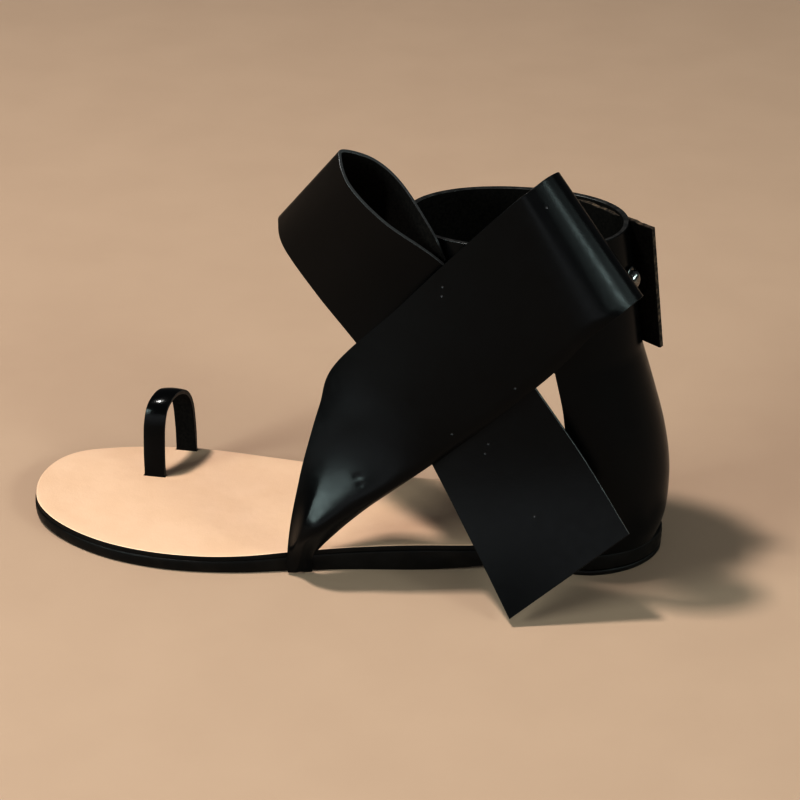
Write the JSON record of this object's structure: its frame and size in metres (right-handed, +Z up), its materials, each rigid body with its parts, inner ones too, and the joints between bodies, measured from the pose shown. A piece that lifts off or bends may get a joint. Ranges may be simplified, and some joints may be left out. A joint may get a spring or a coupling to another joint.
{
  "type": "toe loop sandal",
  "caption": "Flat left-foot sandal with a ring strap for the big toe, a leather ankle cuff with a free flap, a heel counter and a large folded ribbon bow on its outer side.",
  "frame": {"origin": "middle of the bounding box, on the floor under the sole", "axes": "-X to the toe, +X to the heel, +Y to the inner (big toe) side, +Z up"},
  "size_m": [0.252, 0.1044, 0.1647],
  "materials": {
    "outsole": "painted edge, satin",
    "heel": "painted edge, satin",
    "insole": "natural vegetable-tanned, matte top, black painted edge",
    "upper": "smooth, semi-gloss",
    "bow": "smooth, semi-gloss",
    "toe_loop": "smooth, glossy edges",
    "snap_stud": "polished"
  },
  "bodies": {
    "root": {"outsole": "outsole", "heel": "heel", "insole": "insole", "upper": "upper", "bow": "bow", "toe_loop": "toe_loop", "snap_stud": "snap_stud"}
  },
  "joints": []
}
